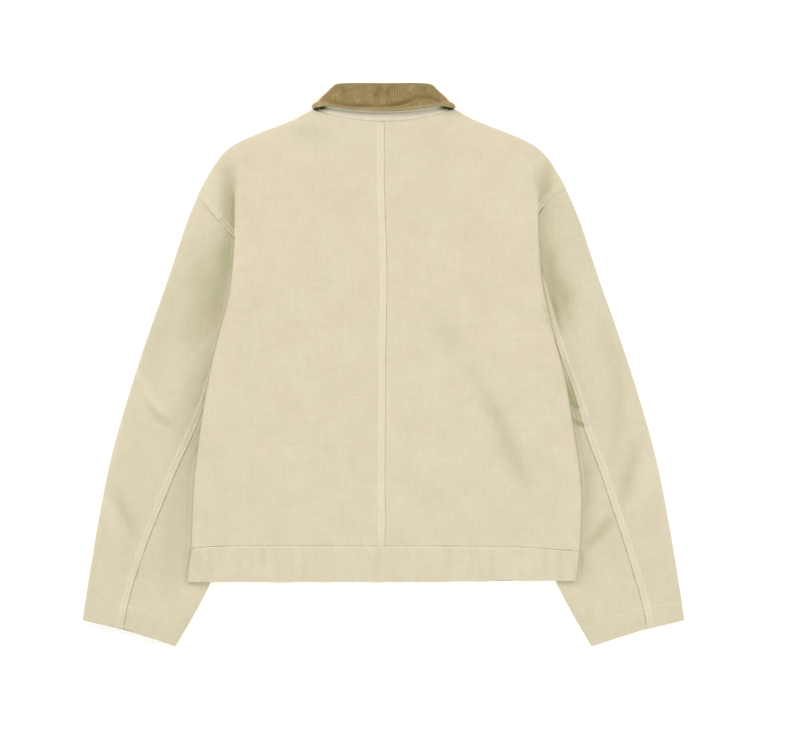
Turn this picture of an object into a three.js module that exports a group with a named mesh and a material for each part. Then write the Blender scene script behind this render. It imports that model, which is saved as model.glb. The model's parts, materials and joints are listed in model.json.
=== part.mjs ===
// A cropped canvas chore jacket with a corduroy collar, laid face down so that its back shows.
// Millimetres. X runs across the jacket, Y from the hem to the collar, Z up from the surface that
// it lies on. The origin is on that surface, under the middle of the jacket's outline.
// Every cloth piece is a thin wall: a grid of points on its outer face, and a second face behind it.
import * as THREE from "three";

// Cloth and seams.
const CANVAS = 1.5; // wall of one layer of canvas
const CORD = 1.8; // wall of the corduroy
const BAND = 2.4; // waistband canvas, folded double
const UNDER_CANVAS = 1.2; // lighter canvas of the under-collar and neckband
const CUFF_HEM = 2.3; // sleeve canvas, turned up and stitched at the cuff
const SEAM = 0.3; // space left between two pieces at a seam
const FELL_WIDTH = 10; // a felled seam's strip
const FELL_RISE = 0.7; // and how far it stands proud
const LAP = 14; // how far each front passes the middle
const LIP = 2.2; // how far a front's edge stays inside the back's rounded edge

// Levels of the faces above the surface.
const BACK_LEVEL = 6.8; // middle of the back
const SIDE_RISE = 2.8; // more over the tucked sleeves and the turned-down collar
const NECK_RISE = 4.8; // and more again up to the neck seam
const SLEEVE_EDGE = 2; // where a sleeve's rounded edge starts
const PRESSED = 3.6; // a sleeve pressed flat under the body
const VALLEY = 3.9; // bottom of the crease between back and shoulder cap
const FRONT_LIFT = 4; // underside of the front where it lies on a sleeve or on the collar

// How far in from its start each rounded edge or slope has reached its full height.
const CREASE_ROUND = 9; // the back's edge at the crease, and at the body's own edge
const CAP_ROUND = 6; // the shoulder cap's edge
const SHOULDER_ROUND = 13; // the back's edge at the shoulder
const SLEEVE_ROUND = 34; // a sleeve's outer edge
const CUFF_ROUND = 30; // a sleeve's inner edge where it lies free
const PRESS_GAP = 5; // a sleeve stays pressed so far outside the body's edge
const PRESS_RISE = 46;
const SLEEVE_RAMP = { start: 10, long: 42 }; // front, inside a sleeve's inner fold
const LEAF_RAMP = { x: 103, y: 222, start: 2, long: 30 }; // front, away from the collar's leaf
const OVER_SLEEVE = { x: -90, across: 65, y: -38, along: 50 }; // back, from the body's edge and armhole
const OVER_LEAF = { x: 85, across: 45, y: 185, along: 60 }; // back, over the collar's leaf
const TO_NECK = { x: 70, across: 40, y: 262, along: 76 }; // back, up to the neck seam

// Lengths along the jacket.
const HEM_Y = -301.6;
const WAIST_Y = -252; // middle of the waistband's seam
const BAND_DEEP = 49.6; // waistband, from its seam to the hem
const NECK_X = 97.5; // side of the neck
const BACK_NECK_Y = 337.7;
const NECK_CURVE = 17.8; // rise of the back's neck seam from the middle to the side of the neck
const UNDERARM = { x: 178, y: 142 }; // hidden lower end of the armhole seam

// The outline from the side of the neck to the cuff, the same on both sides.
const OUTLINE = [
  { x: 97.5, y: 355.5 },
  { x: 106, y: 351 },
  { x: 127, y: 340 },
  { x: 169, y: 324 },
  { x: 207, y: 307 },
  { x: 226, y: 290.5 },
  { x: 239, y: 271 },
  { x: 254.5, y: 243 },
  { x: 272.5, y: 201 },
  { x: 300, y: 118 },
  { x: 329.5, y: 35 },
  { x: 356.5, y: -49 },
  { x: 379.5, y: -132 },
  { x: 396, y: -215 },
  { x: 410, y: -299 },
  { x: 418.5, y: -355 },
];

// Half-widths of the body's edge below the crease.
const BODY_EDGE = [
  { y: 290, left: 203, right: 210 },
  { y: 257, left: 205.5, right: 212 },
  { y: 218, left: 206, right: 214.5 },
  { y: 174, left: 207, right: 215.5 },
  { y: 118, left: 211.5, right: 219.5 },
  { y: 90, left: 215.5, right: 225 },
  { y: 35, left: 230.5, right: 238 },
  { y: -21, left: 243, right: 252.5 },
  { y: -90, left: 254.5, right: 264 },
  { y: -174, left: 264, right: 275 },
  { y: -252, left: 267, right: 272.5 },
  { y: -278, left: 271, right: 269.7 },
  { y: -301.6, left: 273, right: 267.6 },
];

// The felled seam down each sleeve.
const SLEEVE_SEAM = [
  { y: 178, left: 190, right: 196 },
  { y: 90, left: 205, right: 222 },
  { y: 28, left: 222, right: 240.5 },
  { y: -42, left: 243, right: 266 },
  { y: -97, left: 265.5, right: 282 },
  { y: -146, left: 288, right: 301 },
  { y: -188, left: 305, right: 315 },
  { y: -236, left: 324.5, right: 331 },
  { y: -285, left: 342, right: 346.5 },
  { y: -334, left: 356, right: 361 },
  { y: -366, left: 362, right: 366 },
];

// The felled seam down the middle of the back, and the waistband's seam.
const CENTRE_SEAM = [
  { y: 337.7, x: 0.7 },
  { y: 250, x: 1 },
  { y: 125, x: 4.5 },
  { y: 0, x: 2.4 },
  { y: -252, x: 2 },
];
const WAIST_SEAM = [
  { x: -268, y: -255.5 },
  { x: -238, y: -252.2 },
  { x: 0, y: -252 },
  { x: 190, y: -253.4 },
  { x: 272, y: -259 },
];

// A sleeve's inner fold, mostly under the body, from the underarm to the cuff.
const INNER_FOLD = [
  { x: 178, y: 142 },
  { x: 176, y: 96 },
  { x: 176, y: 40 },
  { x: 178, y: -20 },
  { x: 184, y: -80 },
  { x: 193, y: -138 },
  { x: 204, y: -194 },
  { x: 219, y: -246 },
  { x: 239, y: -300 },
  { x: 257, y: -336 },
  { x: 274, y: -366 },
  { x: 289, y: -391.3 },
];

// Height of a sleeve's loft where nothing presses on it.
const LOFT = [
  { y: 237, loft: 13 },
  { y: 142, loft: 16 },
  { y: 24, loft: 17 },
  { y: -100, loft: 16 },
  { y: -223, loft: 14 },
  { y: -322, loft: 11 },
  { y: -391, loft: 9 },
];

// The crease between the back and each shoulder cap, from the neck seam to the armhole seam.
const CREASE = [
  { t: 0, leftX: 86, leftY: 351.2, rightX: 86, rightY: 351.2 },
  { t: 0.2, leftX: 126, leftY: 319, rightX: 127, rightY: 321 },
  { t: 0.4, leftX: 168, leftY: 300, rightX: 173, rightY: 303 },
  { t: 0.55, leftX: 194, leftY: 287, rightX: 200, rightY: 291 },
  { t: 0.7, leftX: 204, leftY: 265, rightX: 210, rightY: 274 },
  { t: 0.85, leftX: 206, leftY: 227, rightX: 213, rightY: 248 },
  { t: 1, leftX: 206.5, leftY: 175.3, rightX: 215, rightY: 212 },
];
const CAP_END = { left: 237, right: 250 }; // height on the outline where each armhole seam starts
const ARMHOLE_BOW = { left: 0, right: -9 }; // sag of each armhole seam below a straight line
const CUFF_BOW = -3;

// The front's neck seam on one side, from the side of the neck to the middle.
const FRONT_NECK = [
  { x: 97.5, y: 355.5 },
  { x: 94, y: 348.5 },
  { x: 86, y: 338.5 },
  { x: 72, y: 326 },
  { x: 56, y: 314 },
  { x: 40, y: 303 },
  { x: 24, y: 294 },
  { x: 10, y: 287.5 },
  { x: 0, y: 285 },
];

// Half of the collar's ring, from the middle of the back to its front end. x and y are places along
// the neck seam; angle is the turn from back to front at the side of the neck and lean is the
// section's slant in the plan; stand and leaf are lengths from the roll to the seam and to the
// leaf's free edge; lift opens the leaf from the stand.
const COLLAR = [
  { x: 0, y: 337.7, angle: 0, lean: 0, stand: 53.4, leaf: 39.4, lift: 2.4 },
  { x: 22, y: 338.5, angle: 0, lean: 0, stand: 52.8, leaf: 39.2, lift: 2.4 },
  { x: 45, y: 341.1, angle: 0, lean: 0, stand: 50.2, leaf: 37.4, lift: 2.5 },
  { x: 64.5, y: 345, angle: 0, lean: 3, stand: 45.6, leaf: 33.4, lift: 2.7 },
  { x: 71.5, y: 346.8, angle: 0, lean: 10, stand: 33.4, leaf: 21.6, lift: 2.8 },
  { x: 79.5, y: 349.2, angle: 0, lean: 13, stand: 24.2, leaf: 14, lift: 2.7 },
  { x: 86, y: 351.4, angle: 0, lean: 12, stand: 16.8, leaf: 9.6, lift: 2.2 },
  { x: 90, y: 353, angle: 0, lean: 6, stand: 12.8, leaf: 8, lift: 1.6 },
  { x: 90.5, y: 354.8, angle: 35, lean: 0, stand: 9.4, leaf: 7.2, lift: 1.1 },
  { x: 90.5, y: 355, angle: 70, lean: 0, stand: 7.8, leaf: 6, lift: 0.9 },
  { x: 90.5, y: 355, angle: 105, lean: 0, stand: 7.4, leaf: 5.6, lift: 0.8 },
  { x: 90.5, y: 355, angle: 140, lean: 0, stand: 8.2, leaf: 6.8, lift: 0.8 },
  { x: 91, y: 348.4, angle: 180, lean: -4, stand: 16, leaf: 17.4, lift: 0.8 },
  { x: 84.5, y: 337.4, angle: 180, lean: -14, stand: 21, leaf: 30, lift: 0.8 },
  { x: 72, y: 326.4, angle: 180, lean: -18, stand: 24, leaf: 40, lift: 0.8 },
  { x: 56, y: 314.4, angle: 180, lean: -20, stand: 26, leaf: 46, lift: 0.8 },
  { x: 40, y: 303.4, angle: 180, lean: -20, stand: 26, leaf: 50, lift: 0.8 },
  { x: 24, y: 294.4, angle: 180, lean: -16, stand: 26, leaf: 53, lift: 0.8 },
  { x: 8, y: 287.6, angle: 180, lean: -10, stand: 26, leaf: 56, lift: 0.8 },
];
const NECK_FACE = 9.7; // middle of the flattened neck opening
const NECK_GAP = 1.3; // half of its height
const COLLAR_DEEP = 7.6; // neck face to leaf, pressed
const POINT_SPREAD = 16; // how far the collar's points turn out
const RIM_SHOWN = 1.6; // how far the under-collar shows past the corduroy

// Soft folds, with x to the right: each a bent line through a middle point, its depth and half-width.
const FOLDS = [
  { on: "back", x: 123, y: -6, midX: 168, midY: -98, endX: 206, endY: -212, depth: -2.6, half: 15 },
  { on: "back", x: 160, y: -60, midX: 205, midY: -120, endX: 232, endY: -214, depth: 1.2, half: 16 },
  { on: "back", x: 62, y: 22, midX: 92, midY: 46, endX: 128, endY: 56, depth: -1.4, half: 19 },
  { on: "back", x: 134, y: 122, midX: 150, midY: 90, endX: 170, endY: 58, depth: -1.4, half: 15 },
  { on: "back", x: 186, y: 246, midX: 194, midY: 208, endX: 198, endY: 160, depth: -1.2, half: 12 },
  { on: "back", x: -128, y: -158, midX: -90, midY: -172, endX: -44, endY: -178, depth: -1.3, half: 10 },
  { on: "back", x: -56, y: -18, midX: -42, midY: -54, endX: -26, endY: -92, depth: -1.1, half: 13 },
  { on: "back", x: -150, y: 300, midX: -116, midY: 312, endX: -84, endY: 306, depth: -1.2, half: 12 },
  { on: "back", x: -216, y: 66, midX: -176, midY: 70, endX: -136, endY: 62, depth: 0.8, half: 13 },
  { on: "arm", x: -338, y: -24, midX: -322, midY: -72, endX: -292, endY: -92, depth: -1.8, half: 10 },
  { on: "arm", x: -388, y: -168, midX: -366, midY: -204, endX: -346, endY: -250, depth: -2.4, half: 11 },
  { on: "arm", x: 308, y: 66, midX: 337, midY: -48, endX: 320, endY: -172, depth: -4, half: 13 },
  { on: "arm", x: 312, y: -182, midX: 300, midY: -214, endX: 274, endY: -240, depth: -3.4, half: 14 },
];

const clamp = (s) => Math.min(1, Math.max(0, s));
const mix = (a, b, s) => a + (b - a) * s;
const ease = (s) => clamp(s) ** 2 * (3 - 2 * clamp(s));
const arch = (s) => Math.sqrt(1 - (1 - clamp(s)) ** 2); // a quarter circle from 0 to 1
const point = (side, x, y, z) => new THREE.Vector3(side * x, y, z);
const steps = (from, to, count) => Array.from({ length: count }, (_, i) => mix(from, to, i / (count - 1)));
const sideName = (side) => (side < 0 ? "left" : "right");

// A column's value on a smooth curve through a table's rows, at a value of its key column.
function read(table, column, value, key = "y") {
  const last = table.length - 1;
  const way = Math.sign(table[last][key] - table[0][key]);
  if ((value - table[0][key]) * way <= 0) return table[0][column];
  if ((value - table[last][key]) * way >= 0) return table[last][column];
  let i = 0;
  while ((table[i + 1][key] - value) * way < 0) i++;
  const slope = (k) => {
    const a = table[Math.max(k - 1, 0)];
    const b = table[Math.min(k + 1, last)];
    return (b[column] - a[column]) / (b[key] - a[key]);
  };
  const [p, q] = [table[i], table[i + 1]];
  const h = q[key] - p[key];
  const s = (value - p[key]) / h;
  const turn = s * s * (3 - 2 * s);
  return mix(p[column], q[column], turn) + h * s * (1 - s) * (slope(i) * (1 - s) - slope(i + 1) * s);
}

// A smooth curve through a table's x and y, as even short steps.
const chain = (table, count) =>
  new THREE.SplineCurve(table.map((p) => new THREE.Vector2(p.x, p.y))).getSpacedPoints(count);
const along = (points, s) => {
  const i = Math.min(points.length - 2, Math.floor(clamp(s) * (points.length - 1)));
  return points[i].clone().lerp(points[i + 1], clamp(s) * (points.length - 1) - i);
};
const outline = chain(OUTLINE, 240);
const insideOutline = outline.map((p, i) => {
  const way = outline[Math.min(i + 1, 240)].clone().sub(outline[Math.max(i - 1, 0)]).normalize();
  return new THREE.Vector2(p.x + way.y * LIP, p.y - way.x * LIP);
});
const innerFold = chain(INNER_FOLD, 120);
const frontNeck = chain(FRONT_NECK, 60);

// Distance from a place to a chain of points, and how far along the chain that is, from 0 to 1.
function nearest(points, x, y) {
  let [best, place] = [Infinity, 0];
  for (let i = 0; i + 1 < points.length; i++) {
    const [a, b] = [points[i], points[i + 1]];
    const [dx, dy] = [b.x - a.x, b.y - a.y];
    const s = clamp(((x - a.x) * dx + (y - a.y) * dy) / (dx * dx + dy * dy));
    const d = Math.hypot(x - a.x - s * dx, y - a.y - s * dy);
    if (d < best) [best, place] = [d, (i + s) / (points.length - 1)];
  }
  return { distance: best, place };
}

// What the soft folds add to a height.
const foldChains = FOLDS.map((f) =>
  new THREE.QuadraticBezierCurve(
    new THREE.Vector2(f.x, f.y),
    new THREE.Vector2(f.midX, f.midY),
    new THREE.Vector2(f.endX, f.endY),
  ).getPoints(10),
);
function foldRise(on, x, y) {
  let rise = 0;
  FOLDS.forEach((f, i) => {
    if (f.on !== on) return;
    const { distance, place } = nearest(foldChains[i], x, y);
    rise += f.depth * Math.exp(-((distance / f.half) ** 2)) * Math.sin(Math.PI * mix(0.12, 0.88, place));
  });
  return rise;
}

const bodyEdge = (side, y) => read(BODY_EDGE, sideName(side), y);
const waistY = (side, x) => read(WAIST_SEAM, "y", side * x, "x");
const creasePoint = (side, t) => ({
  x: read(CREASE, `${sideName(side)}X`, t, "t"),
  y: read(CREASE, `${sideName(side)}Y`, t, "t"),
});

// Where the armhole seam starts on the outline, as a share of the outline's length.
function capPlace(side) {
  const i = outline.findIndex((p) => p.y < CAP_END[sideName(side)]);
  return i / (outline.length - 1);
}

// The armhole seam, from its start on the outline to the underarm.
function armhole(side, s) {
  const start = along(outline, capPlace(side));
  const bow = ARMHOLE_BOW[sideName(side)] * Math.sin(Math.PI * clamp(s * 1.4));
  const way = new THREE.Vector2(UNDERARM.x - start.x, UNDERARM.y - start.y);
  const p = start.clone().addScaledVector(way, s);
  return p.addScaledVector(new THREE.Vector2(way.y, -way.x).normalize(), -bow);
}

// How far the underside of a front is lifted by the sleeve, and by the collar's leaf.
function sleeveLift(x, y) {
  const foldX = read(INNER_FOLD, "x", Math.min(y, UNDERARM.y));
  return FRONT_LIFT * (1 - ease((foldX - x - SLEEVE_RAMP.start) / SLEEVE_RAMP.long));
}
function leafLift(x, y) {
  const away = Math.hypot(Math.max(0, x - LEAF_RAMP.x), Math.max(0, LEAF_RAMP.y - y));
  return FRONT_LIFT * (1 - ease((away - LEAF_RAMP.start) / LEAF_RAMP.long));
}

// Distance outside the body's own edge, in the plan; negative inside it.
function outsideBody(side, x, y) {
  if (y > HEM_Y) return x - bodyEdge(side, y);
  return Math.hypot(Math.max(0, x - bodyEdge(side, HEM_Y)), Math.max(0, HEM_Y - 14 - y));
}

// Height of a sleeve's upper face, and of the shoulder cap that it is sewn to.
function armHeight(side, x, y) {
  const press = 1 - (1 - clamp((outsideBody(side, x, y) - PRESS_GAP) / PRESS_RISE)) ** 2;
  const inside = PRESSED + (read(LOFT, "loft", y) - PRESSED + foldRise("arm", side * x, y)) * press;
  return mix(SLEEVE_EDGE, inside, arch(nearest(outline, x, y).distance / SLEEVE_ROUND));
}

// Height of the back where nothing creases it.
function backLevel(side, x, y) {
  const foot = creasePoint(side, 1);
  const ramp = (value, from, long) => ease((value - from) / long);
  const overSleeve =
    ramp(x - bodyEdge(side, y), OVER_SLEEVE.x, OVER_SLEEVE.across) *
    (1 - ramp(y - foot.y, OVER_SLEEVE.y, OVER_SLEEVE.along));
  const overLeaf = ramp(y, OVER_LEAF.y, OVER_LEAF.along) * (1 - ramp(x, OVER_LEAF.x, OVER_LEAF.across));
  const toNeck = ramp(y, TO_NECK.y, TO_NECK.along) * (1 - ramp(x, TO_NECK.x, TO_NECK.across));
  const raised = SIDE_RISE * Math.max(overSleeve, overLeaf) + NECK_RISE * toNeck;
  const lifted = y < 135 + (Math.max(0, x - UNDERARM.x) * (foot.y - 145)) / 30;
  const front = Math.max(leafLift(x, y), lifted ? sleeveLift(x, y) : 0);
  return Math.max(BACK_LEVEL + raised + foldRise("back", side * x, y), front + 2 * CANVAS + 2 * SEAM);
}

// How low the back comes at the crease or, below the armhole, at its own edge.
const sideSeamTop = FRONT_LIFT + CANVAS + SEAM;
function edgeLevel(side, y) {
  return mix(VALLEY, sideSeamTop, ease((creasePoint(side, 1).y + 40 - y) / 40));
}

// Height of a back panel, at a distance from the crease or from the body's edge.
function backHeight(side, x, y, toCrease, outsideCrease) {
  const rim = nearest(outline, x, y).distance;
  const seamTop = leafLift(x, y) + CANVAS + SEAM;
  const plain = mix(seamTop, backLevel(side, x, y), arch(rim / SHOULDER_ROUND));
  const deep = ease((creasePoint(side, 1).y + 118 - y) / 62);
  const low = edgeLevel(side, y);
  if (!outsideCrease) return mix(mix(plain, low, deep), plain, arch(toCrease / CREASE_ROUND));
  const lift = (low - VALLEY) * (1 - clamp(toCrease / 20));
  return mix(plain, Math.max(armHeight(side, x, y), VALLEY - 2 + 2 * arch(rim / CAP_ROUND)) + lift, deep);
}

// Rows of points on a face, moved into the cloth by a depth. Where a row has null there is no cloth.
// flip is 1 where columns crossed with rows point out of the cloth, and -1 where they point into it.
const isCloth = (rows, i, j) => rows[i] !== undefined && rows[i][j] !== undefined && rows[i][j] !== null;
function behind(rows, depth, flip) {
  const near = (i, j, di, dj) => (isCloth(rows, i + di, j + dj) ? rows[i + di][j + dj] : rows[i][j]);
  return rows.map((row, i) =>
    row.map((p, j) => {
      if (p === null) return null;
      const across = near(i, j, 0, 1).clone().sub(near(i, j, 0, -1));
      const down = near(i, j, 1, 0).clone().sub(near(i, j, -1, 0));
      const deep = typeof depth === "function" ? depth(i, j) : depth;
      return p.clone().addScaledVector(across.cross(down).normalize(), -deep * flip);
    }),
  );
}

// A closed wall between a face and the same face moved into the cloth by its thickness.
function wall(rows, thickness, flip) {
  const [high, wide] = [rows.length, rows[0].length];
  const cell = (i, j) => [0, 1, 2, 3].every((k) => isCloth(rows, i + (k >> 1), j + (k & 1)));
  const back = behind(rows, thickness, flip);
  const points = [];
  const index = rows.map((row, i) =>
    row.map((p, j) => (p === null ? -1 : points.push(p, back[i][j]) / 2 - 1)),
  );
  const faces = [];
  const quad = (a, b, c, d) => faces.push(...(flip > 0 ? [a, b, c, a, c, d] : [a, c, b, a, d, c]));
  for (let i = 0; i < high - 1; i++) {
    for (let j = 0; j < wide - 1; j++) {
      if (!cell(i, j)) continue;
      const [a, b, c, d] = [index[i][j], index[i][j + 1], index[i + 1][j + 1], index[i + 1][j]];
      quad(2 * a, 2 * b, 2 * c, 2 * d);
      quad(2 * a + 1, 2 * d + 1, 2 * c + 1, 2 * b + 1);
      if (!cell(i - 1, j)) quad(2 * b, 2 * a, 2 * a + 1, 2 * b + 1);
      if (!cell(i, j + 1)) quad(2 * c, 2 * b, 2 * b + 1, 2 * c + 1);
      if (!cell(i + 1, j)) quad(2 * d, 2 * c, 2 * c + 1, 2 * d + 1);
      if (!cell(i, j - 1)) quad(2 * a, 2 * d, 2 * d + 1, 2 * a + 1);
    }
  }
  const geometry = new THREE.BufferGeometry().setFromPoints(points);
  geometry.setIndex(faces);
  return geometry;
}

const group = new THREE.Group();
const CANVAS_CLOTH = { color: "#dfd4b7", roughness: 0.9, metalness: 0 };
const CORD_CLOTH = { color: "#99845a", roughness: 0.95, metalness: 0 };
function add(name, geometry, cloth) {
  const mesh = new THREE.Mesh(geometry, new THREE.MeshStandardMaterial(cloth));
  mesh.name = name;
  group.add(mesh);
}

// Back panels. Rows run from the neck seam down to the armhole seam and on to the waistband; columns
// from the felled centre seam to the crease, and past it over the shoulder cap to the outline.
const CAP_COLUMNS = [0.04, 0.14, 0.32, 0.55, 0.76, 0.9, 0.975, 1];
const CREASE_COLUMNS = [28, 14, 7, 3, 0.9, 0];
const SHOULDER_ROWS = [0, 0.07, 0.16, 0.26, 0.36, 0.46, 0.55, 0.63, 0.71, 0.79, 0.87, 0.94, 1];
const BODY_ROWS = 15;
for (const side of [-1, 1]) {
  const laps = side < 0; // the left panel is felled over the right one
  const foot = creasePoint(side, 1);
  const neckEnd = creasePoint(side, 0);
  const capEnd = armhole(side, 0);
  const seamShare = steps(0, 1, 500).find((s) => armhole(side, s).x < foot.x);
  const inner = (startY, end, bend) => {
    const startX = read(CENTRE_SEAM, "x", startY) * side + SEAM / 2;
    const wide = end.x - startX;
    const strip = laps ? [0, FELL_WIDTH, FELL_WIDTH + 1] : [0, 5, 11];
    const columns = [...strip, ...steps(24, wide - 50, 6), ...CREASE_COLUMNS.map((d) => wide - d)];
    return columns.map((d, j) => {
      const y = mix(startY, end.y, d / wide) + bend(startX + d, d / wide);
      const rise = laps && j < 2 ? FELL_RISE : 0;
      return point(side, startX + d, y, backHeight(side, startX + d, y, wide - d, false) + rise);
    });
  };
  const rows = SHOULDER_ROWS.map((t) => {
    const end = creasePoint(side, t);
    const startY = mix(foot.y, BACK_NECK_Y, (end.y - foot.y) / (neckEnd.y - foot.y));
    const curved = (x) => NECK_CURVE * (Math.abs(x) / NECK_X) ** 2.2;
    const neck = (x, s) => (1 - t) ** 4 * (curved(x) - s * curved(end.x));
    const out = along(outline, capPlace(side) * t ** 1.05);
    const cap = CAP_COLUMNS.map((s) => {
      const seam = armhole(side, seamShare * (1 - s));
      const x = mix(end.x, out.x, s) + (seam.x - mix(foot.x, capEnd.x, s)) * t ** 8;
      const y = mix(end.y, out.y, s) + (seam.y + SEAM - mix(foot.y, capEnd.y, s)) * t ** 8;
      const apart = Math.hypot(x - end.x, y - end.y);
      return point(side, x, y, backHeight(side, x, y, apart, true));
    });
    return [...inner(startY, end, neck), ...cap];
  });
  steps(foot.y - 12, WAIST_Y, BODY_ROWS).forEach((y, i) => {
    const down = (x) => (i === BODY_ROWS - 1 ? waistY(side, x) + SEAM - y : 0);
    rows.push([...inner(y, { x: bodyEdge(side, y), y }, down), ...CAP_COLUMNS.map(() => null)]);
  });
  const thick = (i, j) => CANVAS + (laps && j < 2 ? FELL_RISE : 0);
  add(`back_${sideName(side)}`, wall(rows, thick, -side), CANVAS_CLOTH);
}

// Fronts, underneath, with their outer faces down. The shoulder part runs from the outline to a line
// between the middle and the underarm; below it the front also lies over the sleeve, out to the
// body's edge. The left front laps outside the right one at the middle.
const FRONT_COLUMNS = [0, 0.07, 0.14, 0.22, 0.38, 0.54, 0.7, 0.85, 1];
const SIDE_COLUMNS = [0.35, 0.7, 0.92, 1];
const FRONT_TURN = 272; // height on the middle line where the shoulder part ends
const lapRise = (side, x, cloth) => (side > 0 ? (cloth + SEAM) * ease((LAP + 22 - x) / 14) : 0);
for (const side of [-1, 1]) {
  const lower = (x, y) => leafLift(x, y) + lapRise(side, x, CANVAS);
  const capEnd = capPlace(side);
  const [neckSide, armTop] = [insideOutline[0], along(insideOutline, capEnd)];
  const middle = new THREE.Vector2(-LAP, FRONT_TURN);
  const underarm = new THREE.Vector2(UNDERARM.x, UNDERARM.y);
  const rows = steps(0, 1, 8).map((b) => {
    const neck = b < 1 ? along(frontNeck, b) : middle;
    const start = b === 0 ? neckSide : neck;
    const clear = new THREE.Vector2(-0.8, 0.6).multiplyScalar((1 - b) * (1 + 9 * b));
    const arm = b === 0 ? armTop : armhole(side, b).add(clear);
    return FRONT_COLUMNS.map((a) => {
      const top = along(insideOutline, capEnd * a);
      const low = mix(FRONT_TURN, underarm.y, ease((a - 0.22) * 1.3));
      const bottom = new THREE.Vector2(mix(-LAP, underarm.x, a), low);
      const p = top.lerp(bottom, b);
      p.addScaledVector(start.clone().sub(neckSide.clone().lerp(middle, b)), 1 - a);
      p.addScaledVector(arm.clone().sub(armTop.clone().lerp(underarm, b)), a);
      return point(side, p.x, p.y, lower(p.x, p.y));
    });
  });
  rows.forEach((row) => row.push(...SIDE_COLUMNS.map(() => null)));
  const foot = creasePoint(side, 1);
  [132, 116, 92, ...steps(60, WAIST_Y, 10)].forEach((y, i, all) => {
    const last = i === all.length - 1;
    const rise = Math.max(0, foot.y - 10 - y) * ([1, 0.55, 0.15][i] || 0);
    const edge = { x: bodyEdge(side, y + rise) - LIP, y: y + rise };
    const middleY = i === 0 ? FRONT_TURN - 8 : mix(FRONT_TURN - 26, WAIST_Y, (i - 1) / (all.length - 2));
    const turnX = mix(UNDERARM.x - 4, edge.x - 60, ease((i - 2) / 4));
    const place = (x, rowY) => {
      const placeY = last ? waistY(side, x) + SEAM : rowY;
      return point(side, x, placeY, Math.max(lower(x, placeY), sleeveLift(x, placeY)));
    };
    rows.push([
      ...FRONT_COLUMNS.map((a) => place(mix(-LAP, turnX, a), mix(middleY, y, ease((a - 0.22) * 1.3)))),
      ...SIDE_COLUMNS.map((q) => place(mix(turnX, edge.x, q), mix(y, edge.y, q))),
    ]);
  });
  add(`front_${sideName(side)}`, wall(rows, CANVAS, side), CANVAS_CLOTH);
}

// Sleeves, two pieces each. The outer piece runs from the felled seam round the outer fold and under
// the sleeve to the inner fold; the inner piece runs from that seam over the top to the inner fold.
const SLEEVE_PLACES = [...steps(0, 0.972, 22), 0.9735, 1];

// Columns between two distances: around the body's edge where it is there, else evenly spaced.
function aroundEdge(from, to, edge, offsets) {
  const way = Math.sign(to - from);
  const count = offsets.length;
  const there = ease((way * (edge - from) + 30) / 30) * ease((way * (to - edge) + 30) / 30);
  return offsets.map((offset, k) => {
    const even = mix(from, to, (k + 0.5) / count);
    const first = way * from + 2 * (k + 1);
    const last = way * to - 2 * (count - k);
    const wanted = Math.min(last, Math.max(first, way * (edge + offset)));
    return mix(even, way * wanted, there);
  });
}

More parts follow.
